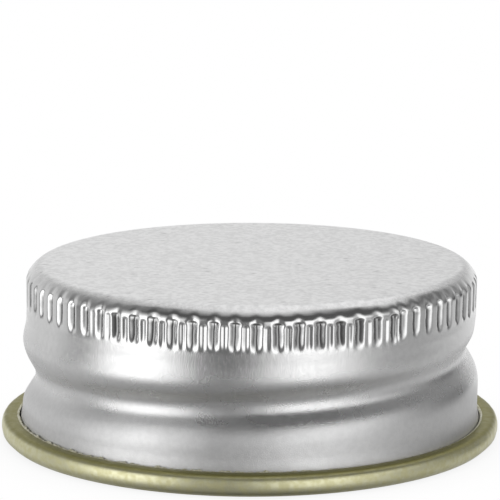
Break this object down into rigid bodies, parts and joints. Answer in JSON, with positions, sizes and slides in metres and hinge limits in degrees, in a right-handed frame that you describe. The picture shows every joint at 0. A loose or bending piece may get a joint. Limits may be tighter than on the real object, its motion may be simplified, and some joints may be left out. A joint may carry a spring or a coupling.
{
  "type": "bottle cap",
  "caption": "Round metal screw cap drawn from one sheet, with a flat panel, a knurled band of pressed flutes, a rolled thread groove, an outward curl at the foot and a sealing disc inside.",
  "frame": {"origin": "middle of the cap's foot, on the surface that it stands on", "axes": "+Z along the cap's axis, out through the flat panel; -Y towards the viewer's side; the thread groove rises from -Y towards +X"},
  "size_m": [0.0364, 0.0364, 0.0127],
  "materials": {
    "bright_sheet": "bright drawn sheet, gold lacquer inside",
    "liner_foam": "matt foam disc"
  },
  "bodies": {
    "root": {"shell": "bright_sheet", "liner": "liner_foam"}
  },
  "joints": []
}
